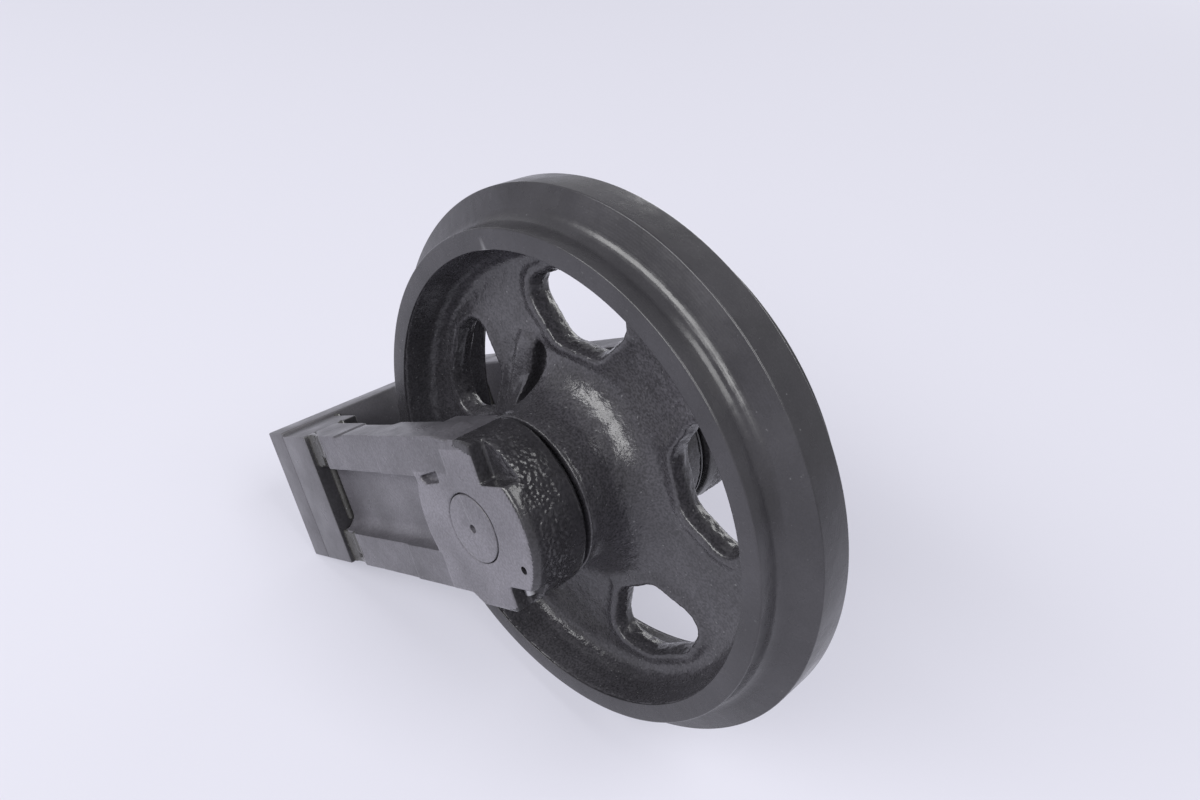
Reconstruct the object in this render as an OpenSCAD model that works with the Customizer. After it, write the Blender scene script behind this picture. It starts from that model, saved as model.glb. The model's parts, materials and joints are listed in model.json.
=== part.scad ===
// Front idler of a small tracked excavator: a cast wheel with a guide flange runs on oil-fed
// bushes on a fixed shaft, between two cast brackets welded to a cross plate.
// The axle lies along Y and the yoke points to -X. The idler stands on its flange and plate.

/* [Wheel] */
// Outer diameter of the guide flange
flange_d = 400; // [380:1:440]
// Width of the flat top of the guide flange
flange_top_w = 25; // [18:0.5:30]
// Slope of the guide flange's sides, in degrees
flange_slope = 20; // [12:1:26]
// Fillet between the guide flange and the treads
flange_fillet = 8; // [3:0.5:10]
// Diameter of the two treads
tread_d = 356; // [346:1:366]
// Width of the rim over both treads
rim_w = 80; // [72:1:92]
// Height of the rim's turned end faces
rim_face_h = 14; // [11:0.5:18]
// Inward slope of the cast wall inside the rim
rim_wall_draft = 4; // [2:0.5:8]
// Fillet between the rim and the web
rim_fillet = 16; // [10:0.5:20]
// Thickness of the web
web_t = 14; // [12:0.5:18]
// Diameter of the hub
hub_d = 116; // [112:1:124]
// Length of the hub
hub_l = 109; // [104:1:114]
// Fillet that flares the hub into the web
hub_fillet = 34; // [20:1:38]
// Chamfer on the turned edges of the wheel
wheel_chamfer = 1.5; // [0.5:0.25:3]

/* [Lightening holes] */
// Number of holes in the web
hole_count = 5; // [4:1:5]
// Angle of the first hole above the yoke's own level
hole_start = -5; // [-36:1:36]
// Radius of the inner edge of the holes
hole_in_r = 93; // [88:1:97]
// Radius of the outer edge of the holes
hole_out_r = 141.5; // [138:0.5:146]
// Radius at which a hole is widest
hole_wide_r = 122; // [118:1:126]
// Greatest width of a hole
hole_w = 84; // [70:1:90]
// Straight part of a hole's inner edge
hole_in_flat = 28; // [20:1:34]
// Straight part of a hole's outer edge
hole_out_flat = 34; // [24:1:40]
// Corner radius of the holes
hole_corner_r = 12; // [8:0.5:14]
// Width of the raised lip round each hole
lip_w = 7; // [4:0.5:9]
// Height of the lip over the web
lip_h = 2.2; // [1:0.1:4]

/* [Cast rib and pocket] */
// Length of the cast rib beside the hub
rib_l = 44; // [34:1:50]
// Thickness of the cast rib
rib_t = 11; // [8:0.5:14]
// Height of the rib over the middle of the web
rib_h = 27; // [20:1:32]
// Distance of the rib's middle from the axle
rib_r = 82; // [78:1:88]
// Turn of the rib from the radial direction, in degrees
rib_turn = -38; // [-50:1:-20]
// Width of the pocket beside the rib
pocket_w = 8; // [5:0.5:11]
// Height of the pocket's floor over the middle of the web
pocket_floor = 9; // [8:0.5:16]

/* [Shaft and bushes] */
// Diameter of the fixed shaft
shaft_d = 48; // [44:0.5:50]
// Chamfer on the ends of the shaft
shaft_chamfer = 1; // [0.5:0.25:2]
// Wall of the bushes
bush_wall = 4; // [3:0.25:5]
// Length of each bush without its flange
bush_l = 28; // [20:1:34]
// Thickness of the thrust flange of a bush
bush_flange_t = 3; // [2:0.25:4]
// Height of the thrust flange of a bush
bush_flange_h = 5; // [4:0.25:6]
// Depth of the oil chamber between the bushes
chamber_h = 3; // [1.5:0.5:6]
// Diameter of the oil drilling in the shaft
oil_d = 8; // [5:0.5:10]
// Diameter of the cross drilling into the oil chamber
oil_cross_d = 6; // [4:0.5:8]
// Depth of the oil plug below the shaft's end
plug_depth = 9; // [6:0.5:14]
// Length of the oil plug
plug_l = 10; // [7:0.5:14]
// Width across flats of the oil plug's socket
plug_socket = 4; // [3:0.5:5]
// Radial gap between the shaft and a bush
running_gap = 0.05; // [0.02:0.01:0.1]
// Gap between pieces that are pressed or clamped together
fit_gap = 0.02; // [0.01:0.01:0.05]
// End play between a bush and its bracket
end_play = 0.4; // [0.3:0.05:0.8]

/* [Seals] */
// Gap between the hub and a bracket
hub_gap = 3; // [2:0.25:5]
// Length of one ring of a face seal
seal_l = 13; // [11:0.5:14]
// Wall of a seal ring
seal_wall = 3.5; // [2.5:0.25:4.5]
// Thickness of a seal ring's lip
seal_lip_t = 4; // [3:0.25:5]
// Room between a seal ring and the thrust boss inside it
seal_room = 2.4; // [1.5:0.1:3]
// Oil film between the two seal rings
seal_film = 0.1; // [0.05:0.01:0.2]
// Thickness of the rubber ring behind a seal ring
toric_d = 6.4; // [5:0.1:7]
// Gap between a seal ring's lip and its seat
seal_lip_gap = 2; // [1:0.25:3]
// Room behind a seal ring
seal_back_gap = 1; // [0.5:0.25:2]
// Thickness of the O-ring on the shaft
o_ring_d = 2.2; // [1.6:0.1:3]
// Distance of the O-ring from the shaft's end
o_ring_inset = 26.8; // [24:0.2:28]

/* [Yoke] */
// Width of the yoke over its outer faces
yoke_w = 206; // [200:1:216]
// Distance from the axle to the rear face of the cross plate
yoke_l = 284; // [276:1:300]
// Height of the yoke's top over the axle
yoke_top = 63; // [61:0.5:66]
// Depth of the yoke's bottom below the axle
yoke_bottom = 50; // [46:0.5:54]
// Thickness of the cross plate
plate_t = 28; // [22:1:34]
// Rise of the cross plate over the top of the brackets
plate_rise = 1.5; // [0.5:0.25:3]
// Length of the feet between the cross plate and the brackets
foot_l = 43; // [36:1:50]
// Width of the feet
foot_w = 48; // [42:1:54]
// Drop of the feet below the top of the brackets
foot_drop = 1.5; // [0.5:0.25:3]
// Diameter of the tensioner's bolt circle
bolt_circle_d = 80; // [70:1:88]
// Diameter of the tapped holes for the tensioner
bolt_d = 14; // [10.2:0.1:17.5]
// Depth of the tapped holes for the tensioner
bolt_depth = 20; // [14:0.5:21]

/* [Brackets] */
// Thickness of an arm at its flanges
arm_t = 21; // [19:0.5:24]
// Height of an arm's upper flange
arm_upper_h = 29; // [24:0.5:32]
// Height of an arm's lower flange
arm_lower_h = 28; // [22:0.5:30]
// Depth of the recess in the arm's outer side
recess_h = 13; // [9:0.5:15]
// Reach of the cast fillet along the lower edge of the recess
recess_fillet = 9; // [4:0.5:10]
// Angle at which that fillet meets the faces beside it
fillet_entry = 15; // [10:1:30]
// Radius of the boss at the front end of the recess
boss_r = 60; // [58:0.5:66]
// Thickening of the arm beside the bearing block
arm_front_step = 5; // [3:0.5:7]
// Thickening of the arm at its foot
arm_rear_step = 8; // [5:0.5:10]
// Length of the thickened rear end of the arm
arm_rear_l = 52; // [44:1:58]
// Height of the raised pads on the flanges
pad_h = 1; // [0.5:0.25:2]
// Distance from the axle to the rear end of the pads
pad_l = 102; // [90:1:112]
// Rise of the bearing block's face over the pads
face_rise = 0.8; // [0.3:0.1:1.5]
// Distance from the axle to the edge of that face above the recess
face_edge = 16; // [12:0.5:22]
// Radius of the rounded bearing block
block_r = 59.5; // [58:0.5:63]
// Height of the bearing block over the axle
block_top = 60; // [57:0.5:60.5]
// Depth of the bearing block below the axle
block_bottom = 57; // [55:0.5:60]
// Length of the bearing block behind the axle
block_tail = 52; // [44:1:56]
// Length of the slope under the bearing block
block_slope = 10; // [6:0.5:14]
// Radius of the machined face between the notches
face_r = 55; // [50:0.5:57]
// Depth of the step round the machined face
face_step = 6; // [3:0.5:9]
// Depth of the cast notches in the machined face
notch_h = 12; // [8:0.5:16]
// Place of the upper notch ahead of the axle
upper_notch_x = 26; // [24.5:0.5:32]
// Place of the upper notch over the axle
upper_notch_z = 31; // [28:0.5:38]
// Place of the lower notch ahead of the axle
lower_notch_x = 20; // [16:0.5:26]
// Place of the lower notch below the axle
lower_notch_z = 39; // [36:0.5:44]
// Diameter of the drilled spot beside the shaft
spot_d = 5.5; // [4:0.5:8]
// Place of the drilled spot ahead of the axle
spot_x = 43; // [40:0.5:46]
// Depth of the drilled spot below the axle
spot_z = 24; // [18:0.5:26]
// Diameter of the pin that locks the shaft
pin_d = 8; // [6:0.5:10]
// Length of the locking pin
pin_l = 66; // [54:1:68]
// Height of the locking pin's top over the axle
pin_top = 18; // [12:0.5:22]
// Distance of the locking pin from the shaft's end
pin_inset = 11.4; // [9:0.2:14]

/* [Welds] */
// Width of the groove welds on the arms' outer faces
groove_w = 30; // [24:1:36]
// Depth of the groove welds
groove_h = 10; // [7:0.5:11]
// Sink of the groove welds below the face
groove_sink = 0.6; // [0.4:0.1:2]
// Radius of the groove welds' crown
crown_r = 48; // [40:1:70]
// Leg of the fillet welds inside the yoke
weld_leg = 8; // [5:0.5:10]
// Leg of the fillet weld in the recess
pocket_leg = 5; // [3:0.5:7]

/* [Hidden] */
$fn = 96;

paint = [0.2, 0.2, 0.21];
weld_paint = [0.17, 0.17, 0.17];
bronze = [0.72, 0.53, 0.25];
steel = [0.62, 0.63, 0.65];
rubber = [0.08, 0.08, 0.09];
over = 1;

flange_r = flange_d / 2;
tread_r = tread_d / 2;
rim_y = rim_w / 2;
rim_face_r = tread_r - rim_face_h;
rim_wall_r = rim_face_r - rim_wall_draft;
web_y = web_t / 2;
hub_r = hub_d / 2;
hub_y = hub_l / 2;
rib_angle = hole_start + 1.5 * 360 / hole_count;

shaft_r = shaft_d / 2;
face_y = yoke_w / 2;
bush_bore_r = shaft_r + running_gap;
bush_r = bush_bore_r + bush_wall;
bush_flange_r = bush_r + bush_flange_h;
bush_seat_r = bush_r + fit_gap;
chamber_r = bush_seat_r + chamber_h;

seal_y = hub_y + hub_gap / 2;
seal_seat_h = seal_l + seal_back_gap;
seal_floor_y = seal_y - seal_seat_h;
seal_bore_r = bush_flange_r + seal_room;
seal_body_r = seal_bore_r + seal_wall;
toric_r = seal_body_r + toric_d / 2 + fit_gap;
seal_seat_r = seal_body_r + toric_d + 2 * fit_gap;
seal_lip_r = seal_seat_r - seal_lip_gap;
toric_y = seal_floor_y + (seal_l - seal_lip_t) / 2 + seal_back_gap;
bush_out_y = seal_floor_y - bush_flange_t;
bush_in_y = bush_out_y - bush_l;

block_y = hub_y + hub_gap;
bracket_floor_y = seal_y + seal_seat_h;
o_ring_y = face_y - o_ring_inset;
pin_y = face_y - pin_inset;

pad_y = face_y - face_rise;
flange_y = pad_y - pad_h;
arm_y = flange_y - arm_t;
recess_y = flange_y - recess_h;
plate_x = plate_t - yoke_l;
arm_x = plate_x + foot_l;
foot_y = face_y - foot_w;
foot_top = yoke_top - foot_drop;
recess_top = yoke_top - arm_upper_h;
recess_bottom = arm_lower_h - yoke_bottom;
plate_top = yoke_top + plate_rise;

// Tilt at which the guide flange and the cross plate's lower edge share one floor
rest_tilt = asin(flange_r / norm([yoke_l, yoke_bottom])) - atan(yoke_bottom / yoke_l);
rear_reach = yoke_l * cos(rest_tilt) + plate_top * sin(rest_tilt);
stand_x = (rear_reach - flange_r) / 2;

// Sets the idler down on the floor, centred over its origin
module stand() {
    translate([stand_x, 0, flange_r]) rotate([0, -rest_tilt, 0]) children();
}

// The near side is the -Y side
module near_side() {
    stand() mirror([0, 1, 0]) children();
}

module far_side() {
    stand() children();
}

// Turns a section about the axle: its X is the radius and its Y lies along the axle
module turned() {
    rotate([-90, 0, 0]) rotate_extrude() children();
}

// Extrudes a side view, X by Z, along the axle from y0 to y1
module across(y0, y1) {
    translate([0, y1, 0]) rotate([90, 0, 0]) linear_extrude(y1 - y0) children();
}

// Extrudes a plan, X by Y, upwards from z0 to z1
module upright(z0, z1) {
    translate([0, 0, z0]) linear_extrude(z1 - z0) children();
}

module span(x0, y0, x1, y1) {
    translate([x0, y0]) square([x1 - x0, y1 - y0]);
}

// Convex outline with round corners of radius r about the given centres, listed anticlockwise
module rounded_outline(centres, r) {
    count = len(centres);
    polygon(centres);
    for (i = [0 : count - 1]) {
        a = centres[i];
        b = centres[(i + 1) % count];
        normal = [b.y - a.y, a.x - b.x] / norm(b - a) * r;
        polygon([a, a + normal, b + normal, b]);
        translate(a) circle(r);
    }
}

// Concave fillet of radius r in a square corner, which opens along +X and +Y
module corner_fill(r) {
    difference() {
        square(r);
        translate([r, r]) circle(r);
    }
}

// Fillet between a tread and the sloping side of the guide flange
module flange_root(foot_y) {
    reach = flange_fillet / tan(45 + flange_slope / 2);
    corner = [tread_r, foot_y];
    centre = corner + [flange_fillet, reach];
    difference() {
        polygon([corner, corner + [0, reach], centre,
            corner + reach * [cos(flange_slope), -sin(flange_slope)]]);
        translate(centre) circle(flange_fillet);
    }
}

// Upper half of the wheel's section, from the oil chamber out to the guide flange
module wheel_half_section() {
    c = wheel_chamfer;
    flange_foot_y = flange_top_w / 2 + (flange_r - tread_r) * tan(flange_slope);
    polygon([
        [chamber_r, 0], [flange_r, 0], [flange_r, flange_top_w / 2],
        [tread_r, flange_foot_y], [tread_r, rim_y - c], [tread_r - c, rim_y],
        [rim_face_r, rim_y], [rim_wall_r, web_y + rim_fillet], [rim_wall_r, web_y],
        [hub_r, web_y], [hub_r, hub_y - c], [hub_r - c, hub_y],
        [seal_seat_r, hub_y], [seal_seat_r, seal_floor_y],
        [bush_flange_r + end_play, seal_floor_y], [bush_flange_r + end_play, bush_out_y],
        [bush_seat_r, bush_out_y], [bush_seat_r, bush_in_y], [chamber_r, bush_in_y]
    ]);
    flange_root(flange_foot_y);
    translate([hub_r, web_y]) corner_fill(hub_fillet);
    translate([rim_wall_r, web_y]) mirror([1, 0]) corner_fill(rim_fillet);
}

module hole_outline(grow) {
    r = hole_corner_r;
    rounded_outline([
        [hole_in_r + r, -hole_in_flat / 2], [hole_wide_r, r - hole_w / 2],
        [hole_out_r - r, -hole_out_flat / 2], [hole_out_r - r, hole_out_flat / 2],
        [hole_wide_r, hole_w / 2 - r], [hole_in_r + r, hole_in_flat / 2]
    ], r + grow);
}

module each_hole() {
    for (i = [0 : hole_count - 1]) rotate(hole_start + i * 360 / hole_count) children();
}

// Stands a side view of the rib at its place between two holes, on the -Y side
module at_rib() {
    rotate([0, -rib_angle, 0]) translate([rib_r, 0, 0]) rotate([0, -rib_turn, 0]) children();
}

module idler_wheel() {
    lip_y = web_y + lip_h;
    color(paint) stand() difference() {
        union() {
            turned() {
                wheel_half_section();
                mirror([0, 1]) wheel_half_section();
            }
            across(-lip_y, lip_y) each_hole() hole_outline(lip_w);
            at_rib() across(-rib_h, 0) span(-rib_l / 2, -rib_t / 2, rib_l / 2, rib_t / 2);
        }
        across(-rim_y, rim_y) each_hole() hole_outline(0);
        at_rib() across(-hub_y, -pocket_floor)
            span(-rib_l / 2 + pocket_w, -rib_t / 2 - pocket_w, rib_l / 2, -rib_t / 2);
        turned() span(0, -hub_y, bush_seat_r, hub_y);
    }
}

module bush() {
    color(bronze) turned() {
        span(bush_bore_r, bush_in_y, bush_r, seal_floor_y);
        span(bush_bore_r, bush_out_y + fit_gap, bush_flange_r, seal_floor_y);
    }
}

module near_bush() { near_side() bush(); }
module far_bush() { far_side() bush(); }

module lock_pin_body(gap, drop) {
    translate([shaft_r, pin_y, pin_top - pin_l - drop])
        cylinder(d = pin_d + 2 * gap, h = pin_l + drop + gap);
}

module shaft() {
    c = shaft_chamfer;
    color(steel) stand() difference() {
        turned() polygon([
            [0, -face_y], [shaft_r - c, -face_y], [shaft_r, c - face_y],
            [shaft_r, face_y - c], [shaft_r - c, face_y], [0, face_y]
        ]);
        for (s = [0, 1]) mirror([0, s, 0]) {
            turned() translate([0, o_ring_y])
                span(shaft_r - o_ring_d, -o_ring_d / 2 - fit_gap, shaft_r + over, o_ring_d / 2 + fit_gap);
            lock_pin_body(fit_gap, over);
        }
        turned() span(0, -face_y - over, oil_d / 2, oil_cross_d);
        translate([-shaft_d, 0, 0]) rotate([0, 90, 0]) cylinder(d = oil_cross_d, h = 2 * shaft_d);
    }
}

module oil_plug() {
    plug_y = face_y - plug_depth;
    color(steel) near_side() difference() {
        turned() span(0, plug_y - plug_l, oil_d / 2 - fit_gap, plug_y);
        rotate([-90, 0, 0]) translate([0, 0, plug_y - plug_l / 2])
            cylinder(d = plug_socket / cos(30), h = plug_l, $fn = 6);
    }
}

module lock_pin() {
    color(steel) lock_pin_body(0, 0);
}

module near_lock_pin() { near_side() lock_pin(); }
module far_lock_pin() { far_side() lock_pin(); }

module o_ring() {
    color(rubber) turned() translate([shaft_r - o_ring_d / 2, o_ring_y]) circle(o_ring_d / 2 - fit_gap);
}

module near_o_ring() { near_side() o_ring(); }
module far_o_ring() { far_side() o_ring(); }

// Half of a face seal, drawn in the hub: the bracket's half is its mirror image
module seal_ring() {
    color(steel) turned() {
        span(seal_bore_r, seal_y - seal_l, seal_body_r, seal_y - seal_film / 2);
        span(seal_bore_r, seal_y - seal_lip_t, seal_lip_r, seal_y - seal_film / 2);
    }
}

module toric() {
    color(rubber) turned() translate([toric_r, toric_y]) circle(toric_d / 2);
}

module bracket_half() {
    translate([0, 2 * seal_y, 0]) mirror([0, 1, 0]) children();
}

module near_wheel_seal_ring() { near_side() seal_ring(); }
module far_wheel_seal_ring() { far_side() seal_ring(); }
module near_bracket_seal_ring() { near_side() bracket_half() seal_ring(); }
module far_bracket_seal_ring() { far_side() bracket_half() seal_ring(); }
module near_wheel_toric() { near_side() toric(); }
module far_wheel_toric() { far_side() toric(); }
module near_bracket_toric() { near_side() bracket_half() toric(); }
module far_bracket_toric() { far_side() bracket_half() toric(); }

// Side view of the rounded block that holds the shaft
module block_outline() {
    intersection() {
        union() {
            circle(block_r);
            polygon([
                [-block_tail, -yoke_bottom], [-shaft_r - block_slope / 2, -yoke_bottom],
                [block_slope / 2 - shaft_r, -block_bottom], [0, -block_bottom],
                [0, block_top], [-block_tail, block_top]
            ]);
        }
        span(-block_tail, -block_bottom, block_r + over, block_top);
    }
}

// Plan of an arm with its thicker ends
module arm_plan() {
    polygon([
        [arm_x, arm_y - arm_rear_step], [arm_x + arm_rear_l, arm_y - arm_rear_step],
        [arm_x + arm_rear_l + arm_rear_step, arm_y], [-pad_l, arm_y],
        [arm_front_step - pad_l, arm_y - arm_front_step], [0, arm_y - arm_front_step],
        [0, flange_y], [arm_x, flange_y]
    ]);
}

// Side view of an arm, with the step behind the machined top
module arm_outline() {
    polygon([
        [arm_x, -yoke_bottom], [0, -yoke_bottom], [0, yoke_top],
        [arm_x + arm_rear_l + 2 * arm_rear_step, yoke_top],
        [arm_x + arm_rear_l + arm_rear_step, foot_top - foot_drop],
        [arm_x + arm_rear_l, foot_top - foot_drop], [arm_x + arm_rear_l, foot_top], [arm_x, foot_top]
    ]);
}

module recess_outline() {
    difference() {
        span(arm_x - over, recess_bottom, 0, recess_top);
        circle(boss_r);
    }
}

// Fillet along the lower edge of the recess, from the arm's rear end into the boss
module recess_root() {
    centre = recess_fillet / (1 - tan(fillet_entry));
    translate([arm_x, recess_y, recess_bottom]) rotate([90, 0, 90])
        linear_extrude(-arm_x - block_tail) difference() {
            square(recess_fillet);
            translate([centre, centre]) circle(centre / cos(fillet_entry));
        }
}

// Plan of the groove at an arm's rear end, which the weld fills
module groove_plan(gap) {
    polygon([
        [arm_x, flange_y - groove_h], [arm_x + groove_w, flange_y], [arm_x + groove_w, flange_y + gap],
        [arm_x - gap, flange_y + gap], [arm_x - gap, flange_y - groove_h]
    ]);
}

module bracket() {
    color(paint) difference() {
        union() {
            across(block_y, face_y) block_outline();
            intersection() {
                upright(-block_bottom, yoke_top + over) arm_plan();
                across(0, face_y) arm_outline();
            }
            across(recess_y, pad_y) {
                span(-pad_l, recess_top, 0, yoke_top);
                span(-pad_l, -yoke_bottom, -shaft_r, recess_bottom);
            }
            across(recess_y, face_y) intersection() {
                circle(boss_r);
                span(-boss_r, recess_bottom, 0, recess_top);
            }
            turned() span(shaft_r, seal_floor_y + end_play, bush_flange_r, bracket_floor_y + over);
        }
        difference() {
            across(recess_y, face_y + over) recess_outline();
            recess_root();
        }
        across(pad_y, face_y + over) span(-boss_r, recess_top, -face_edge, yoke_top + over);
        upright(-block_bottom - over, yoke_top + over) groove_plan(over);
        across(face_y - face_step, face_y + over) difference() {
            span(face_r * cos(45), -block_bottom - over, block_r + over, block_top + over);
            circle(face_r);
        }
        across(face_y - notch_h, face_y + over) {
            span(upper_notch_x, upper_notch_z, block_r + over, block_top + over);
            span(lower_notch_x, -block_bottom - over, block_r + over, -lower_notch_z);
        }
        turned() span(bush_flange_r, block_y - over, seal_seat_r, bracket_floor_y);
        turned() span(0, 0, shaft_r + fit_gap, face_y + over);
        turned() polygon([
            [shaft_r, face_y - shaft_chamfer], [shaft_r + shaft_chamfer + over, face_y + over],
            [shaft_r, face_y + over]
        ]);
        lock_pin_body(fit_gap, block_r);
        translate([spot_x, face_y - notch_h, -spot_z]) rotate([-90, 0, 0])
            cylinder(d = spot_d, h = notch_h + over);
    }
}

module near_bracket() { near_side() bracket(); }
module far_bracket() { far_side() bracket(); }

module cross_plate() {
    color(paint) stand() difference() {
        across(-face_y, face_y) span(-yoke_l, -yoke_bottom, plate_x, plate_top);
        for (a = [45 : 90 : 315])
            translate([-yoke_l - over, 0, 0]) rotate([a, 0, 0]) translate([0, bolt_circle_d / 2, 0])
                rotate([0, 90, 0]) cylinder(d = bolt_d, h = bolt_depth + over);
    }
}

module foot() {
    color(paint) across(foot_y, face_y) span(plate_x, -yoke_bottom, arm_x, foot_top);
}

module near_foot() { near_side() foot(); }
module far_foot() { far_side() foot(); }

// A convex bead that fills most of the groove beside one flange
module groove_welds() {
    color(weld_paint) for (level = [[recess_top, foot_top], [-yoke_bottom, recess_bottom]])
        upright(level[0], level[1]) intersection() {
            groove_plan(0);
            translate([arm_x + groove_w / 2, flange_y - groove_sink - crown_r]) circle(crown_r);
        }
}

module near_groove_welds() { near_side() groove_welds(); }
module far_groove_welds() { far_side() groove_welds(); }

// Fillet weld between an arm's recessed web and its foot
module pocket_weld() {
    color(weld_paint) upright(recess_bottom + recess_fillet, recess_top)
        translate([arm_x, recess_y]) corner_fill(pocket_leg);
}

module near_pocket_weld() { near_side() pocket_weld(); }
module far_pocket_weld() { far_side() pocket_weld(); }

// Fillet welds at the foot's inner corners, to the cross plate and to the arm
module inner_welds() {
    color(weld_paint) {
        upright(-yoke_bottom, foot_top) translate([plate_x, foot_y]) mirror([0, 1]) corner_fill(weld_leg);
        upright(-yoke_bottom, foot_top) translate([arm_x, arm_y - arm_rear_step])
            mirror([0, 1]) corner_fill(weld_leg);
    }
}

module near_inner_welds() { near_side() inner_welds(); }
module far_inner_welds() { far_side() inner_welds(); }

idler_wheel();
near_bush();
far_bush();
shaft();
oil_plug();
near_bracket();
far_bracket();
near_lock_pin();
far_lock_pin();
near_o_ring();
far_o_ring();
near_wheel_seal_ring();
far_wheel_seal_ring();
near_bracket_seal_ring();
far_bracket_seal_ring();
near_wheel_toric();
far_wheel_toric();
near_bracket_toric();
far_bracket_toric();
cross_plate();
near_foot();
far_foot();
near_groove_welds();
far_groove_welds();
near_pocket_weld();
far_pocket_weld();
near_inner_welds();
far_inner_welds();
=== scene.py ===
"""Front idler of a small tracked excavator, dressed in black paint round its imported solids."""

import json
import math

import bpy
from mathutils import Matrix, Vector


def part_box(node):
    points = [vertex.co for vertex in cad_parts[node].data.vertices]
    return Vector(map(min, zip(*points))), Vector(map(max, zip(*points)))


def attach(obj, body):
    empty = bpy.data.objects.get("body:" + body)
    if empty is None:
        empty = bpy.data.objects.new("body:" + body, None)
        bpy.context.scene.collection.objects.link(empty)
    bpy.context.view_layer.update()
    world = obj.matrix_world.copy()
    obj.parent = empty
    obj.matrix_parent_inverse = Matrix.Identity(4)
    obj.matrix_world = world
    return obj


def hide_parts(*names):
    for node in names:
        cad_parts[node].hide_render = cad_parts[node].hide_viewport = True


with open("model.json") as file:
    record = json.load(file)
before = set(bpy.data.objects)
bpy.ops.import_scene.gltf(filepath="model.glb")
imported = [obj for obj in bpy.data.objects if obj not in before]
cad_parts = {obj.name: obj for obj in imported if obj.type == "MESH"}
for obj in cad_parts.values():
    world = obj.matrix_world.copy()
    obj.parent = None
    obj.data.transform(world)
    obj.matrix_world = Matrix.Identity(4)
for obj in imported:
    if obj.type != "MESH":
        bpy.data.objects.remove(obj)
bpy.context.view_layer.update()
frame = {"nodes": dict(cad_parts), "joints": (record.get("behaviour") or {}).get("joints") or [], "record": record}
bpy.ops.object.select_all(action="DESELECT")
scene = bpy.context.scene
scene.view_settings.view_transform = "Standard"

MM = 0.001

# Places that the frame gives: the axle, the yoke's tilt and the outer sizes
mounts = {mount["name"]: mount for mount in frame["record"]["mounts"]}
axle = Vector(frame["joints"][0]["pos_m"])
rear_axis = Vector(mounts["tensioner_face"]["axis"])
tilt = math.atan2(-rear_axis.z, -rear_axis.x)
LEVEL_TO_REST = Matrix.Translation(axle) @ Matrix.Rotation(-tilt, 4, "Y")
REST_TO_LEVEL = LEVEL_TO_REST.inverted()
flange_r = axle.z
hub_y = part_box("idler_wheel")[1].y
face_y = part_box("shaft")[1].y
foot_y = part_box("far_foot")[0].y
yoke_rear_x = (REST_TO_LEVEL @ Vector(mounts["tensioner_face"]["pos_m"])).x
yoke_top = (REST_TO_LEVEL @ Vector(mounts["far_guide_top"]["pos_m"])).z
yoke_bottom = (REST_TO_LEVEL @ Vector(mounts["far_guide_bottom"]["pos_m"])).z

# Wheel
tread_r = 178 * MM
flange_top_y = 12.5 * MM
flange_foot_y = 20.5 * MM
flange_fillet = 11 * MM
rim_y = 40 * MM
rim_face_r = 164 * MM
rim_wall_r = 160 * MM
rim_fillet = 16 * MM
web_y = 7 * MM
hub_r = 58 * MM
hub_fillet = 34 * MM
seal_seat_r = 45.6 * MM
turned_edge = 1.2 * MM
hub_end_w = 2.2 * MM
hub_end_lap = 1.5 * MM
hub_end_lift = 0.2 * MM
web_tuck = 0.3 * MM
web_skirt_w = 4 * MM

# Holes in the web, as the centres of their round corners
hole_count = 5
hole_start = -5
hole_corners = [(105, -14), (122, -30), (129.5, -17), (129.5, 17), (122, 30), (105, 14)]
hole_corner_r = 12 * MM
hole_steps = ((0, 0), (0.9 * MM, 2.2 * MM), (1.9 * MM, 5.5 * MM))
hole_zone = (90 * MM, 146 * MM)
hole_wall_slope = (1.2, 1.6)
lip_steps = ((12 * MM, 0.9 * MM), (8 * MM, 2.5 * MM))

# Cast land and pocket beside the hub, on the near side
land_corners = [(-34, 48, 4), (-3, 95, 7), (-20, 99, 8), (-58, 52, 8)]
land_steps = ((1.26, 8 * MM), (1.17, 9.2 * MM), (1.08, 10.4 * MM), (0.98, 11.4 * MM))
pocket_start = Vector((-32, 54)) * MM
pocket_end = Vector((-3, 95)) * MM
pocket_w = 13 * MM
pocket_floor = -3 * MM

# Brackets and yoke, in the yoke's level frame round the axle
shaft_r = 24 * MM
shaft_bore_r = 24.5 * MM
thrust_r = 33 * MM
thrust_y = hub_y - 12.1 * MM
seal_floor_y = hub_y + 15.5 * MM
block_r = 59.5 * MM
block_top = 60 * MM
block_corner = (10 * MM, 14 * MM)
block_corner_r = block_top - block_corner[1]
corner_start = 10
block_bottom = -57 * MM
block_tail_x = -52 * MM
block_heel = 5 * MM
block_y = hub_y + 3 * MM
pad_h = 1 * MM
face_rise = 0.8 * MM
face_edge = -8 * MM
top_slope_x = -14 * MM
face_slope_z = 53 * MM
face_slope = 2.2 * MM
pad_y = face_y - face_rise
flange_y = pad_y - pad_h
pad_x = -102 * MM
arm_y = flange_y - 21 * MM
arm_tuck = 3 * MM
arm_front_step = 5 * MM
arm_rear_step = 8 * MM
arm_rear_l = 52 * MM
arm_rear_dip = 1.5 * MM
recess_y = flange_y - 13 * MM
recess_top = yoke_top - 29 * MM
recess_bottom = yoke_bottom + 28 * MM
boss_r = 60 * MM
boss_margin = 3 * MM
recess_fillet = 10 * MM
root_start = 1 * MM
face_r = 56 * MM
face_step = 9 * MM
shoulder_w = 4 * MM
shoulder_x = 36 * MM
gap_chamfer = 4 * MM
gap_over = 1 * MM
corner_pocket = [
    (-48 * MM, 34 * MM), (-40 * MM, 29 * MM), (-23 * MM, 31 * MM), (-23 * MM, 38.5 * MM)]
corner_pocket_h = 5 * MM
skin_play = 0.2 * MM
over = 2 * MM
notch_h = 12 * MM
upper_notch = (26 * MM, 31 * MM)
lower_notch = (20 * MM, -39 * MM)
spot = (43 * MM, -24 * MM)
spot_r = 2.75 * MM
plate_x = yoke_rear_x + 28 * MM
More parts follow.
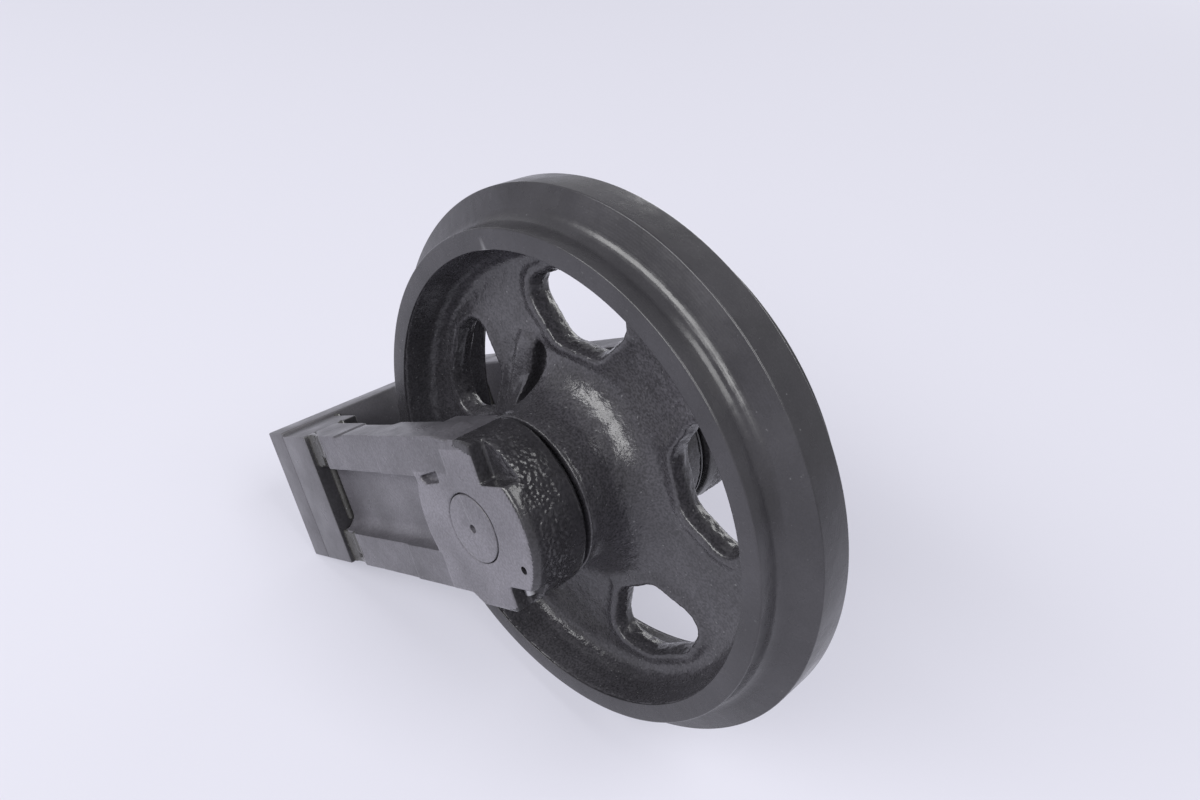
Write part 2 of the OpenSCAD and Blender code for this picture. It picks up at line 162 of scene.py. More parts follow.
plate_top = yoke_top + 1.5 * MM
arm_x = plate_x + 43 * MM
foot_top = yoke_top - 1.5 * MM
groove_w = 24 * MM
groove_h = 9 * MM
plate_edge = 1.2 * MM
foot_edge = 1.0 * MM
bolt_count = 4
bolt_start = 45
bolt_circle_r = 40 * MM
bolt_r = 7 * MM
bolt_depth = 20 * MM

# Shaft's ends, each with a drilled centre
shaft_edge = 0.8 * MM
shaft_end_l = 24 * MM
oil_r = 3 * MM
oil_depth = 14 * MM
oil_tip_depth = 15 * MM
oil_tip_r = 0.2 * MM

# Rough side of the block: where it starts and ends, and how wide its soft borders are
rough_from_x = 16 * MM
rough_from_y = hub_y + 12 * MM
rough_to_y = face_y - 8 * MM
rough_depth = 4 * MM
rough_border_x = 8 * MM
rough_border_gap = 5 * MM
rough_border_face = 4 * MM
rough_border_depth = 2 * MM

# Welds: the hollow fill of the grooves and its bead, and the legs of the fillet welds
groove_fill = [
    (-3, -10), (27, -2), (26, 0.2), (22, -0.8), (17, -2.3), (11, -3), (5, -2.4), (1, -1.2), (-3, -1.2)]
bead = (4 * MM, 1.8 * MM, 5 * MM)
bead_at = (18 * MM, -1.8 * MM)
bead_count = 3
ripple_sway = 0.05
ripple_turn = 2.3
weld_leg = 8 * MM
weld_hollow = 0.4
weld_middle = 0.25
weld_width = 0.42
ripple_pitch = 6 * MM
ripple_h = 4.6 * MM
ripple_inset = 3 * MM
pocket_leg = 5 * MM
pocket_middle = 0.25
pocket_bead = 0.6
pocket_ripples = 30

# Skins of the castings: voxel, rounds of smoothing and the share of triangles kept
WEB_VOXEL = 1.7 * MM
WEB_ROUNDS = 6
WEB_KEPT = 0.6
BRACKET_VOXEL = 1.0 * MM
BRACKET_ROUNDS = 3
BRACKET_KEPT = 0.72
WELD_VOXEL = 1.1 * MM
GROOVE_ROUNDS = 3
FILLET_ROUNDS = 6
POCKET_ROUNDS = 2

# Roughness of the skins: grain and height
HOLE_WALL_GRAIN = (4 * MM, 1.8 * MM)
WEB_WAVES = (16 * MM, 0.7 * MM)
WEB_GRAIN = (4.5 * MM, 0.75 * MM)
BLOCK_WRINKLES = (1.9 * MM, 1.9 * MM)
BRACKET_WAVES = (18 * MM, 0.4 * MM)
WELD_WAVES = (9 * MM, 0.6 * MM)

# Facets round a full turn
RIM_STEPS = 240
WEB_STEPS = 128
HUB_STEPS = 160
BORE_STEPS = 96
THRUST_STEPS = 64
SHAFT_STEPS = 128
BOLT_STEPS = 40
SPOT_STEPS = 24

MERGE = 0.001 * MM
NEARLY_STRAIGHT = math.radians(89)


# Modelling tools

def activate(*pieces):
    bpy.ops.object.select_all(action="DESELECT")
    for piece in pieces:
        piece.select_set(True)
    bpy.context.view_layer.objects.active = pieces[0]
    return pieces[0]


def arc(centre, radius, start, end, steps):
    """Points on a circle from start to end, in degrees, both included."""
    turns = [math.radians(start + (end - start) * i / steps) for i in range(steps + 1)]
    return [(centre[0] + radius * math.cos(a), centre[1] + radius * math.sin(a)) for a in turns]


def rounded(corners, steps=6):
    """A closed outline with corners given as x, y and radius, round where the radius isn't 0."""
    points = []
    for i, (x, y, radius) in enumerate(corners):
        corner = Vector((x, y))
        to_before = (Vector(corners[i - 1][:2]) - corner).normalized()
        to_after = (Vector(corners[(i + 1) % len(corners)][:2]) - corner).normalized()
        half = to_before.angle(to_after) / 2
        if radius == 0 or half > NEARLY_STRAIGHT:
            points.append((x, y))
            continue
        centre = corner + (to_before + to_after).normalized() * radius / math.sin(half)
        first = corner + to_before * radius / math.tan(half) - centre
        sweep = math.pi - 2 * half
        side = 1 if to_before.cross(to_after) < 0 else -1
        for step in range(steps + 1):
            turn = side * sweep * step / steps
            points.append(tuple(centre + Matrix.Rotation(turn, 2) @ first))
    return points


def wire(points):
    """A closed chain of edges through the points, drawn by extruding one vertex."""
    bpy.ops.object.select_all(action="DESELECT")
    bpy.ops.mesh.primitive_plane_add(size=MM, location=points[0])
    bpy.ops.object.mode_set(mode="EDIT")
    bpy.ops.mesh.select_mode(type="VERT")
    bpy.ops.mesh.merge(type="CENTER")
    for here, there in zip(points, points[1:] + points[:1]):
        step = Vector(there) - Vector(here)
        bpy.ops.mesh.extrude_vertices_move(TRANSFORM_OT_translate={"value": step})
    bpy.ops.mesh.select_all(action="SELECT")
    bpy.ops.mesh.remove_doubles(threshold=MERGE)
    return bpy.context.object


def close(piece):
    """Turns every face outwards and leaves edit mode, with the place in the mesh."""
    bpy.ops.mesh.select_all(action="SELECT")
    bpy.ops.mesh.remove_doubles(threshold=MERGE)
    bpy.ops.mesh.normals_make_consistent(inside=False)
    bpy.ops.object.mode_set(mode="OBJECT")
    activate(piece)
    bpy.ops.object.transform_apply(location=True, rotation=True, scale=True)
    return piece


def extruded(points, lift):
    piece = wire(points)
    bpy.ops.mesh.edge_face_add()
    bpy.ops.mesh.extrude_region_move(TRANSFORM_OT_translate={"value": lift})
    return close(piece)


def across(outline, y0, y1):
    """A side view, x by z, extruded along the axle."""
    return extruded([(x, y0, z) for x, z in outline], (0, y1 - y0, 0))


def upright(outline, z0, z1):
    """A plan, x by y, extruded upwards."""
    return extruded([(x, y, z0) for x, y in outline], (0, 0, z1 - z0))


def turned(section, steps):
    """A section, radius by y, spun about the axle."""
    piece = wire([(r, y, 0) for r, y in section])
    bpy.ops.mesh.spin(steps=steps, angle=2 * math.pi, center=(0, 0, 0), axis=(0, 1, 0),
                      use_auto_merge=True)
    return close(piece)


def block(low, high):
    plan = [(low[0], low[1]), (high[0], low[1]), (high[0], high[1]), (low[0], high[1])]
    return upright(plan, low[2], high[2])


def apply_modifier(piece, kind, **settings):
    activate(piece)
    modifier = piece.modifiers.new(kind.lower(), kind)
    for name, value in settings.items():
        setattr(modifier, name, value)
    bpy.ops.object.modifier_apply(modifier=modifier.name)
    return piece


def carve(piece, *cutters, operation="DIFFERENCE"):
    for cutter in cutters:
        apply_modifier(piece, "BOOLEAN", object=cutter, operation=operation, solver="EXACT")
        bpy.data.objects.remove(cutter)
    return piece


def fuse(*pieces):
    activate(*pieces)
    bpy.ops.object.join()
    return pieces[0]


def recast(piece, voxel, rounds):
    """Melts joined solids into one skin with soft edges, as a casting has."""
    apply_modifier(piece, "REMESH", mode="VOXEL", voxel_size=voxel)
    return apply_modifier(piece, "SMOOTH", factor=0.5, iterations=rounds)


def roughen(piece, grain, height, group=""):
    """Lifts and sinks the skin by a cloudy grain of that size and height."""
    clouds = bpy.data.textures.new("grain", "CLOUDS")
    clouds.noise_scale = grain
    clouds.noise_depth = 2
    return apply_modifier(piece, "DISPLACE", texture=clouds, texture_coords="LOCAL",
                          strength=height, mid_level=0.5, vertex_group=group)


def mark(piece, name, weigh):
    """A vertex group with the weight that weigh gives for each vertex and its normal."""
    group = piece.vertex_groups.new(name=name)
    for vertex in piece.data.vertices:
        weight = weigh(vertex.co, vertex.normal)
        if weight > 0:
            group.add([vertex.index], min(weight, 1), "REPLACE")
    return piece


def fade(distance, border):
    """Rises from 0 to 1 over a border's width."""
    return min(max(distance / border, 0), 1)


def swap_sides(piece):
    """A mirrored copy of a piece, for the near side."""
    activate(piece)
    bpy.ops.object.duplicate()
    copy = bpy.context.object
    copy.scale = (1, -1, 1)
    bpy.ops.object.transform_apply(location=True, rotation=True, scale=True)
    bpy.ops.object.mode_set(mode="EDIT")
    bpy.ops.mesh.select_all(action="SELECT")
    bpy.ops.mesh.normals_make_consistent(inside=False)
    bpy.ops.object.mode_set(mode="OBJECT")
    return copy


def fit(piece, name, body, slot, *nodes, smooth=40):
    """Sets a finished piece at its place in the standing idler and ties it to its body."""
    piece.name = name
    piece.data.name = name
    piece.matrix_world = LEVEL_TO_REST
    activate(piece)
    bpy.ops.object.transform_apply(location=True, rotation=True, scale=True)
    bpy.ops.object.shade_smooth_by_angle(angle=math.radians(smooth))
    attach(piece, body)
    if nodes:
        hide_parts(*nodes)
    return piece


# Wheel

def hole_outline(grow):
    """Outline of one hole, with its radial direction along x."""
    corners = [Vector(corner) * MM for corner in hole_corners]
    points = []
    for i, corner in enumerate(corners):
        before = corner - corners[i - 1]
        after = corners[(i + 1) % len(corners)] - corner
        start = math.degrees(math.atan2(-before.x, before.y))
        end = math.degrees(math.atan2(-after.x, after.y))
        points += arc(corner, hole_corner_r + grow, start, start + (end - start) % 360, 5)
    return points


def turn_about_axle(points, degrees):
    c, s = math.cos(math.radians(degrees)), math.sin(math.radians(degrees))
    return [(x * c - z * s, x * s + z * c) for x, z in points]


def cut_hole(piece, degrees):
    """Cuts one hole, which opens a little towards both sides as a cored hole does."""
    for grow, start_y in hole_steps:
        outline = turn_about_axle(hole_outline(grow), degrees)
        if start_y == 0:
            carve(piece, across(outline, -rim_y, rim_y))
        else:
            carve(piece, across(outline, -rim_y, -start_y), across(outline, start_y, rim_y))
    return piece


def rim():
    corners = [
        (flange_r, -flange_top_y, turned_edge), (flange_r, flange_top_y, turned_edge),
        (tread_r, flange_foot_y, flange_fillet), (tread_r, rim_y, turned_edge),
        (rim_face_r, rim_y, turned_edge / 2), (rim_face_r, -rim_y, turned_edge / 2),
        (tread_r, -rim_y, turned_edge), (tread_r, -flange_foot_y, flange_fillet)]
    return turned(rounded(corners), RIM_STEPS)


def land_outline(spread):
    """Outline of the land between a hole and the pocket, spread about its middle."""
    places = [Vector(corner[:2]) for corner in land_corners]
    middle = sum(places, Vector((0, 0))) / len(places)
    spread_out = [middle + (place - middle) * spread for place in places]
    return rounded([(*(place * MM), corner[2] * MM) for place, corner in zip(spread_out, land_corners)])


def pocket_outline():
    """The pocket in the hub's flare: straight beside the land and round on its other side."""
    middle, half = (pocket_start + pocket_end) / 2, (pocket_end - pocket_start) / 2
    across_it = Vector((half.y, -half.x)).normalized() * pocket_w
    turns = [math.radians(step) for step in range(0, 181, 15)]
    return [tuple(middle - half * math.cos(turn) + across_it * math.sin(turn)) for turn in turns]


def hole_wall(place, normal):
    """How far a place of the web is on a hole's wall, from 0 to 1."""
    if not hole_zone[0] < math.hypot(place.x, place.z) < hole_zone[1]:
        return 0
    return hole_wall_slope[0] - hole_wall_slope[1] * abs(normal.y)


def web():
    """The rough casting inside the rim: dished web, lipped holes, flared hub, land and pocket."""
    skirt_r = rim_face_r + web_skirt_w
    skirt_y = rim_y - web_tuck
    end_y = hub_y - hub_end_lap
    upper = [
        (seal_seat_r, end_y, 0), (hub_r, end_y, 0), (hub_r, web_y, hub_fillet),
        (rim_wall_r, web_y, rim_fillet), (rim_face_r - web_tuck, skirt_y, 0), (skirt_r, skirt_y, 0)]
    lower = [(r, -y, radius) for r, y, radius in reversed(upper)]
    casting = turned(rounded(upper + lower, 12), WEB_STEPS)
    swells = []
    for i in range(hole_count):
        degrees = hole_start + i * 360 / hole_count
        cut_hole(casting, degrees)
        for grow, lift in lip_steps:
            outline = turn_about_axle(hole_outline(grow), degrees)
            swells.append(cut_hole(across(outline, -web_y - lift, web_y + lift), degrees))

    for spread, height in land_steps:
        swells.append(across(land_outline(spread), -height, 0))
    for solid in (casting, *swells[-len(land_steps):]):
        carve(solid, across(pocket_outline(), -hub_y, -pocket_floor))
    fuse(casting, *swells)
    recast(casting, WEB_VOXEL, WEB_ROUNDS)
    mark(casting, "hole_walls", hole_wall)
    roughen(casting, *HOLE_WALL_GRAIN, "hole_walls")
    roughen(casting, *WEB_WAVES)
    roughen(casting, *WEB_GRAIN)
    return apply_modifier(casting, "DECIMATE", ratio=WEB_KEPT)


def hub_end(side):
    """The turned ring that ends the hub beside a bracket."""
    inner_y = hub_y - hub_end_w
    outer_r = hub_r + hub_end_lift
    corners = [(seal_seat_r, side * inner_y, 0), (outer_r, side * inner_y, 0),
               (outer_r, side * hub_y, turned_edge), (seal_seat_r, side * hub_y, turned_edge / 2)]
    return turned(rounded(corners), HUB_STEPS)


# Brackets

def block_outline():
    """The block's round front with its fuller upper corner, and its flat top and tail."""
    low = math.degrees(math.asin(block_bottom / block_r))
    corner = arc(block_corner, block_corner_r, corner_start, 90, 20)
    high = math.degrees(math.atan2(corner[0][1], corner[0][0]))
    return arc((0, 0), block_r, low, high, 30)[:-1] + corner + [
        (block_tail_x, block_top), (block_tail_x, yoke_bottom),
        (-shaft_r - block_heel, yoke_bottom), (block_heel - shaft_r, block_bottom)]


def boss_edge():
    """The round rear edge of the boss, from the recess's floor edge up to its top edge."""
    low = math.degrees(math.asin(recess_bottom / boss_r))
    high = math.degrees(math.asin(recess_top / boss_r))
    return [(-x, z) for x, z in arc((0, 0), boss_r, low, high, 16)]


def gap_edge():
    """Cutter for the chamfer round the block's front edge beside the hub."""
    section = [
        (block_r - gap_chamfer, block_y - gap_over), (2 * block_r, block_y - gap_over),
        (2 * block_r, block_y + gap_chamfer), (block_r + gap_over, block_y + gap_chamfer)]
    cutter = turned(section, BORE_STEPS)
    return carve(cutter, block((-3 * block_r, 0, -3 * block_r), (0, 2 * face_y, 3 * block_r)))


def bracket_arm():
    """The arm with its steps, its recess and its grooves for the welds."""
    rear_end = arm_x + arm_rear_l
    rear_y = arm_y - arm_rear_step
    front_y = arm_y - arm_front_step
    tucked_x = arm_x - arm_tuck
    tucked_y = foot_y + arm_tuck
    dip_z = foot_top - arm_rear_dip
    groove_y = flange_y - groove_h
    plan = [
        (arm_x, rear_y), (rear_end, rear_y), (rear_end + arm_rear_step, arm_y),
        (pad_x, arm_y), (pad_x + arm_front_step, front_y), (0, front_y),
        (0, flange_y), (tucked_x, flange_y), (tucked_x, tucked_y), (arm_x, tucked_y)]
    side = [
        (tucked_x, yoke_bottom), (0, yoke_bottom), (0, yoke_top), (rear_end + 2 * arm_rear_step, yoke_top),
        (rear_end + arm_rear_step, dip_z), (rear_end, dip_z), (rear_end, foot_top), (tucked_x, foot_top)]
    recess = [(arm_x - over, recess_top), (arm_x - over, recess_bottom)] + boss_edge()
    groove = [
        (arm_x, groove_y), (arm_x + groove_w, flange_y), (arm_x + groove_w, face_y),
        (arm_x - over, face_y), (arm_x - over, groove_y)]
    arm = upright(plan, yoke_bottom - over, yoke_top + over)
    carve(arm, across(side, block_y, face_y + over), operation="INTERSECT")
    carve(arm, across(recess, recess_y, face_y + over))
    return carve(arm, upright(groove, yoke_bottom - over, yoke_top + over))


def bracket_pads():
    """What stands on the arm's outer side: two pads, the boss and the round root of the recess."""
    root = [(recess_y - over, recess_bottom - over), (flange_y - over, recess_bottom - over)]
    root += [(recess_y + recess_fillet - y, recess_bottom + recess_fillet - z)
             for y, z in arc((0, 0), recess_fillet, 90, 0, 8)]
    root += [(recess_y - over, recess_bottom + recess_fillet)]
    boss = boss_edge() + [(0, recess_top), (0, recess_bottom)]
    return [
        block((pad_x, recess_y, recess_top), (0, pad_y, yoke_top)),
        block((pad_x, recess_y, yoke_bottom), (-shaft_r, pad_y, recess_bottom)),
        across(boss, recess_y, face_y - skin_play),
        extruded([(arm_x + root_start, y, z) for y, z in root], (block_tail_x - arm_x, 0, 0))]


def face_shoulder():
    """Cutter for the round shoulder at the front of the face."""
    front = block_r + over
    section = [(face_r, face_y)]
    for turn in (math.radians(step) for step in range(30, 91, 15)):
        section.append((face_r + shoulder_w * math.sin(turn), face_y - face_step * (1 - math.cos(turn))))
    section += [(front + over, face_y - face_step), (front + over, face_y + over), (face_r, face_y + over)]
    cutter = turned(section, BORE_STEPS)
    return carve(cutter, block((-2 * front, 0, -2 * front), (shoulder_x, 2 * face_y, 2 * front)))


def block_cutters():
    """Cutters for the block: shoulder, notches, pocket, slopes, gap, seal seat and bore."""
    front = block_r + over
    inner_y = block_y - over
    outer_y = face_y + over
    notch_y = face_y - notch_h
    slope_x = face_edge - over
    face_slope_end = [
        (slope_x, face_y, face_slope_z), (slope_x, face_y - face_slope, block_top),
        (slope_x, outer_y, block_top)]
    top_slope = [
        (top_slope_x, yoke_top), (0, block_top), (0, yoke_top + over), (top_slope_x, yoke_top + over)]
    seal_seat = [
        (shaft_bore_r, inner_y), (seal_seat_r, inner_y), (seal_seat_r, seal_floor_y),
        (shaft_bore_r, seal_floor_y)]
    return [
        face_shoulder(),
        block((upper_notch[0], notch_y, upper_notch[1]), (front, outer_y, block_top + over)),
        block((lower_notch[0], notch_y, block_bottom - over), (front, outer_y, lower_notch[1])),
        across(corner_pocket, pad_y - corner_pocket_h, outer_y),
        extruded(face_slope_end, (upper_notch[0] - face_edge + 2 * over, 0, 0)),
        gap_edge(),
        across(top_slope, inner_y, outer_y),
        turned(seal_seat, BORE_STEPS),
        across(arc((0, 0), shaft_bore_r, 0, 360, BORE_STEPS)[:-1], inner_y, outer_y)]


def rough_zone(place, normal):
    """How far a place of the bracket is on the block's rough side, from 0 to 1."""
    on_front = fade(place.x - rough_from_x, rough_border_x)
    off_gap = fade(abs(place.y) - rough_from_y, rough_border_gap)
    off_face = fade(rough_to_y - abs(place.y), rough_border_face)
    outside = fade(math.hypot(place.x, place.z) - block_r + rough_depth, rough_border_depth)
    return on_front * off_gap * off_face * outside


def bracket():
    """The far bracket; the near one is its mirror image."""
    outer_y = face_y + over
    thrust_end_y = seal_floor_y + over
    thrust = turned([(shaft_bore_r, thrust_y), (thrust_r, thrust_y), (thrust_r, thrust_end_y),
                     (shaft_bore_r, thrust_end_y)], THRUST_STEPS)
    bearing = across(block_outline(), block_y, face_y - skin_play)
    for solid in (bracket_arm(), *bracket_pads()):
        carve(bearing, solid, operation="UNION")
    carve(bearing, block((-boss_r, pad_y, recess_top + boss_margin), (face_edge, outer_y, yoke_top + over)))
    carve(bearing, *block_cutters())
    fuse(bearing, thrust)
    recast(bearing, BRACKET_VOXEL, BRACKET_ROUNDS)
    mark(bearing, "rough", rough_zone)
    roughen(bearing, *BLOCK_WRINKLES, "rough")
    roughen(bearing, *BRACKET_WAVES)
    apply_modifier(bearing, "DECIMATE", ratio=BRACKET_KEPT)
    spot_hole = arc(spot, spot_r, 0, 360, SPOT_STEPS)[:-1]
    return carve(bearing, across(spot_hole, face_y - notch_h, outer_y))


def shaft():
    """The whole shaft, with a drilled centre in each end."""
    half = [
        (shaft_r, face_y - shaft_end_l, 0), (shaft_r, face_y, shaft_edge), (oil_r, face_y, shaft_edge / 2),
        (oil_r, face_y - oil_depth, 0), (oil_tip_r, face_y - oil_tip_depth, 0)]
    lower = [(r, -y, radius) for r, y, radius in reversed(half)]
    return turned(rounded(half + lower), SHAFT_STEPS)


# Yoke

def beveled(piece, width):
    return apply_modifier(piece, "BEVEL", width=width, segments=3, limit_method="ANGLE",
                          harden_normals=False)


def cross_plate():
    """The plate across the yoke's rear, with blind bolt holes for the tensioner."""
    plate = beveled(block((yoke_rear_x, -face_y, yoke_bottom), (plate_x, face_y, plate_top)), plate_edge)
    for i in range(bolt_count):
        turn = math.radians(bolt_start + 360 / bolt_count * i)
        y, z = bolt_circle_r * math.cos(turn), bolt_circle_r * math.sin(turn)
        bpy.ops.mesh.primitive_cylinder_add(vertices=BOLT_STEPS, radius=bolt_r, depth=2 * bolt_depth,
                                            location=(yoke_rear_x, y, z), rotation=(0, math.pi / 2, 0))
        carve(plate, bpy.context.object)
    return plate


def foot():
    return beveled(block((plate_x, foot_y, yoke_bottom), (arm_x, face_y, foot_top)), foot_edge)


def weld_row(start, end, radii, count):
    """Overlapping ripples of weld metal from start to end."""
    ripples = []
    for i in range(count):
        place = Vector(start).lerp(Vector(end), i / (count - 1))
        sway = Vector((ripple_sway * radii[0] * math.sin(ripple_turn * i), 0, 0))
        bpy.ops.mesh.primitive_uv_sphere_add(segments=24, ring_count=12, radius=1, location=place + sway)
        ripple = bpy.context.object
        ripple.scale = radii
        ripples.append(ripple)
    activate(*ripples)
    bpy.ops.object.transform_apply(location=True, rotation=True, scale=True)
    return fuse(*ripples)


def groove_welds():
    """Hollow fills that rise from the foot to the arm, with a bead, above and below the recess."""
    fill = [(arm_x + x * MM, flange_y + y * MM) for x, y in groove_fill]
    seam = (arm_x + bead_at[0], flange_y + bead_at[1])
    beads = []
    for low, high in ((recess_top, foot_top), (yoke_bottom, recess_bottom)):
        beads.append(weld_row((*seam, (low + high) / 2), (*seam, high - bead[2]), bead, bead_count))
        beads.append(upright(fill, low, high))
    fuse(*beads)
    recast(beads[0], WELD_VOXEL, GROOVE_ROUNDS)
    return roughen(beads[0], *WELD_WAVES)


def fillet_weld(corner, reach_x, reach_y, low, high):
    """A fillet weld up the corner of two upright faces, which it leaves along reach_x and reach_y."""
    x, y = corner
    hollow = (x + reach_x * weld_hollow, y + reach_y * weld_hollow)
    seam = (x + reach_x * weld_middle, y + reach_y * weld_middle)
    radii = (weld_width * abs(reach_x), weld_width * abs(reach_y), ripple_h)
    count = int((high - low) / ripple_pitch)
    bar = upright([corner, (x + reach_x, y), hollow, (x, y + reach_y)], low, high)
    row = weld_row((*seam, low + ripple_inset), (*seam, high - ripple_inset), radii, count)
    fuse(bar, row)
    return recast(bar, WELD_VOXEL, FILLET_ROUNDS)


def pocket_weld():
    """A slim smooth bead up the corner of the recess and the foot."""
    low, high = recess_bottom + recess_fillet / 2, recess_top
    seam = (arm_x + pocket_middle * pocket_leg, recess_y + pocket_middle * pocket_leg)
    radius = pocket_bead * pocket_leg
    row = weld_row((*seam, low + radius), (*seam, high - radius), (radius,) * 3, pocket_ripples)
    return recast(row, WELD_VOXEL, POCKET_ROUNDS)


def inner_welds():
    """The fillet welds inside the yoke, from the foot to the plate and to the arm."""
    return fuse(fillet_weld((plate_x, foot_y), weld_leg, -weld_leg, yoke_bottom, foot_top),
                fillet_weld((arm_x, arm_y - arm_rear_step), weld_leg, -weld_leg, yoke_bottom, foot_top))


# Finishes

# Paint: its cloudy tone, dust, pale edges (partly wear, partly a painted highlight along the edges), sheen, orange
# peel and turning marks
CLOUD_GRAIN = 45 * MM
CLOUD_LEVELS = (0.78, 1, 1.25)
DUST_GRAIN = 2.4 * MM
DUST_SOFTNESS = 0.06
DUST_COVER = 0.5
DUST = (0.2, 0.2, 0.21)
EDGE_WEAR_AND_HIGHLIGHT = (0.28, 0.28, 0.29)
EDGE_TINT_FROM = 0.54
EDGE_TINT_FULL = 0.64
SHEEN_GRAIN = 20 * MM
SHEEN_PLAY = (-0.07, 0.1)
PEEL_GRAIN = 9 * MM
PEEL_DEPTH = 0.25 * MM
TURNING_DEPTH = 0.012 * MM
TURNING_SCALE = 190
TURNING_WOBBLE = 1.2

# Bare metal and rubber: the grain of their tone and sheen
TONE_GRAIN = 12 * MM
TONE_DULL = 0.75
BARE_SHEEN_GRAIN = 5 * MM
BARE_SHEEN_PLAY = (-0.06, 0.1)


def noise(nodes, links, place, grain, detail=3.0):
    """A noise whose grain is that many metres across."""
    texture = nodes.new("ShaderNodeTexNoise")
    texture.inputs["Scale"].default_value = 1 / grain
    texture.inputs["Detail"].default_value = detail
    links.new(place, texture.inputs["Vector"])
    return texture.outputs["Fac"]


def ramp(nodes, links, value, *stops):
    """Colours or levels at the given places along a value from 0 to 1."""
    band = nodes.new("ShaderNodeValToRGB")
    links.new(value, band.inputs["Fac"])
    elements = band.color_ramp.elements
    for i, (place, colour) in enumerate(stops):
        element = elements[i] if i < 2 else elements.new(place)
        element.position = place
        element.color = (*colour, 1) if isinstance(colour, tuple) else (colour, colour, colour, 1)
    return band.outputs["Color"]


def bump(nodes, links, height, depth, under=None):
    """A bump of that depth in metres, over another one."""
    lift = nodes.new("ShaderNodeBump")
    lift.inputs["Distance"].default_value = depth
    links.new(height, lift.inputs["Height"])
    if under:
        links.new(under, lift.inputs["Normal"])
    return lift.outputs["Normal"]


def tint(nodes, links, base, cover, amount):
    """Lays one colour over another by an amount from 0 to 1."""
    blend = nodes.new("ShaderNodeMix")
    blend.data_type = "RGBA"
    links.new(amount, blend.inputs["Factor"])
    links.new(base, blend.inputs["A"])
    blend.inputs["B"].default_value = (*cover, 1)
    return blend.outputs["Result"]


def shaded(nodes, links, base, shade):
    """Multiplies a colour by a level."""
    blend = nodes.new("ShaderNodeMix")
    blend.data_type = "RGBA"
    blend.blend_type = "MULTIPLY"
    blend.inputs["Factor"].default_value = 1
    links.new(base, blend.inputs["A"])
    links.new(shade, blend.inputs["B"])
    return blend.outputs["Result"]


def turning_marks(nodes, links, place):
    """Fine rings round the axle, on the faces and the treads alike, as a lathe leaves them."""
    centred = nodes.new("ShaderNodeMapping")
    centred.inputs["Location"].default_value = -axle
    links.new(place, centred.inputs["Vector"])
    marks = []
    for kind, direction in (("RINGS", "rings_direction"), ("BANDS", "bands_direction")):
        wave = nodes.new("ShaderNodeTexWave")
        wave.wave_type = kind
        setattr(wave, direction, "Y")
        wave.inputs["Scale"].default_value = TURNING_SCALE
        wave.inputs["Distortion"].default_value = TURNING_WOBBLE
        wave.inputs["Detail"].default_value = 1
        links.new(centred.outputs["Vector"], wave.inputs["Vector"])
        marks.append(wave.outputs["Fac"])
    total = nodes.new("ShaderNodeMath")
    total.operation = "ADD"
    for i, mark_value in enumerate(marks):
        links.new(mark_value, total.inputs[i])
    return total.outputs["Value"]


def black_paint(name, tone, gloss, grain, grain_depth, mottle=0.15, edge_wear_and_highlight=0.6, specks=0.74,
                hue=(1, 0.96, 1.1), turned_face=False):
    """Black enamel on steel: uneven tone, dust specks, pale edges that are partly wear and partly a painted
    highlight, and the ground's own grain.
    """
    finish = bpy.data.materials.new(name)
    finish.use_nodes = True
    nodes, links = finish.node_tree.nodes, finish.node_tree.links
    shader = nodes["Principled BSDF"]
    place = nodes.new("ShaderNodeTexCoord").outputs["Object"]
    top = tone * (1 + mottle)
    dark, middle, pale = (tuple(level * top * channel for channel in hue) for level in CLOUD_LEVELS)
    clouds = noise(nodes, links, place, CLOUD_GRAIN, 5)
    colour = ramp(nodes, links, clouds, (0.3, dark), (0.7, pale), (0.5, middle))
    grains = noise(nodes, links, place, grain, 2)
    grains = ramp(nodes, links, grains, (0.38, (1 - mottle) / (1 + mottle)), (0.62, 1))
    colour = shaded(nodes, links, colour, grains)
    dust = noise(nodes, links, place, DUST_GRAIN, 1)
    dust = ramp(nodes, links, dust, (specks, 0), (specks + DUST_SOFTNESS, DUST_COVER))
    colour = tint(nodes, links, colour, DUST, dust)
    # Pale tint on sharp edges: partly wear, partly a painted highlight for the bright lines that rounded edges
    # reflect.
    edges = nodes.new("ShaderNodeNewGeometry").outputs["Pointiness"]
    edges = ramp(nodes, links, edges, (EDGE_TINT_FROM, 0), (EDGE_TINT_FULL, edge_wear_and_highlight))
    colour = tint(nodes, links, colour, EDGE_WEAR_AND_HIGHLIGHT, edges)
    links.new(colour, shader.inputs["Base Color"])
    sheen = noise(nodes, links, place, SHEEN_GRAIN, 4)
    sheen = ramp(nodes, links, sheen, (0.3, gloss + SHEEN_PLAY[0]), (0.7, gloss + SHEEN_PLAY[1]))
    links.new(sheen, shader.inputs["Roughness"])
    normal = bump(nodes, links, noise(nodes, links, place, PEEL_GRAIN, 2), PEEL_DEPTH)
    normal = bump(nodes, links, noise(nodes, links, place, grain, 3), grain_depth, normal)
    if turned_face:
        normal = bump(nodes, links, turning_marks(nodes, links, place), TURNING_DEPTH, normal)
    links.new(normal, shader.inputs["Normal"])
    return finish


turned_paint = black_paint("turned_paint", 0.03, 0.24, 1.2 * MM, 0.015 * MM,
                           mottle=0.08, specks=0.77, turned_face=True)
web_paint = black_paint("web_paint", 0.04, 0.18, 1.6 * MM, 0.24 * MM, mottle=0.3, edge_wear_and_highlight=0.15, specks=0.71)
cast_paint = black_paint("cast_paint", 0.026, 0.21, 2.0 * MM, 0.25 * MM, mottle=0.2, edge_wear_and_highlight=0)
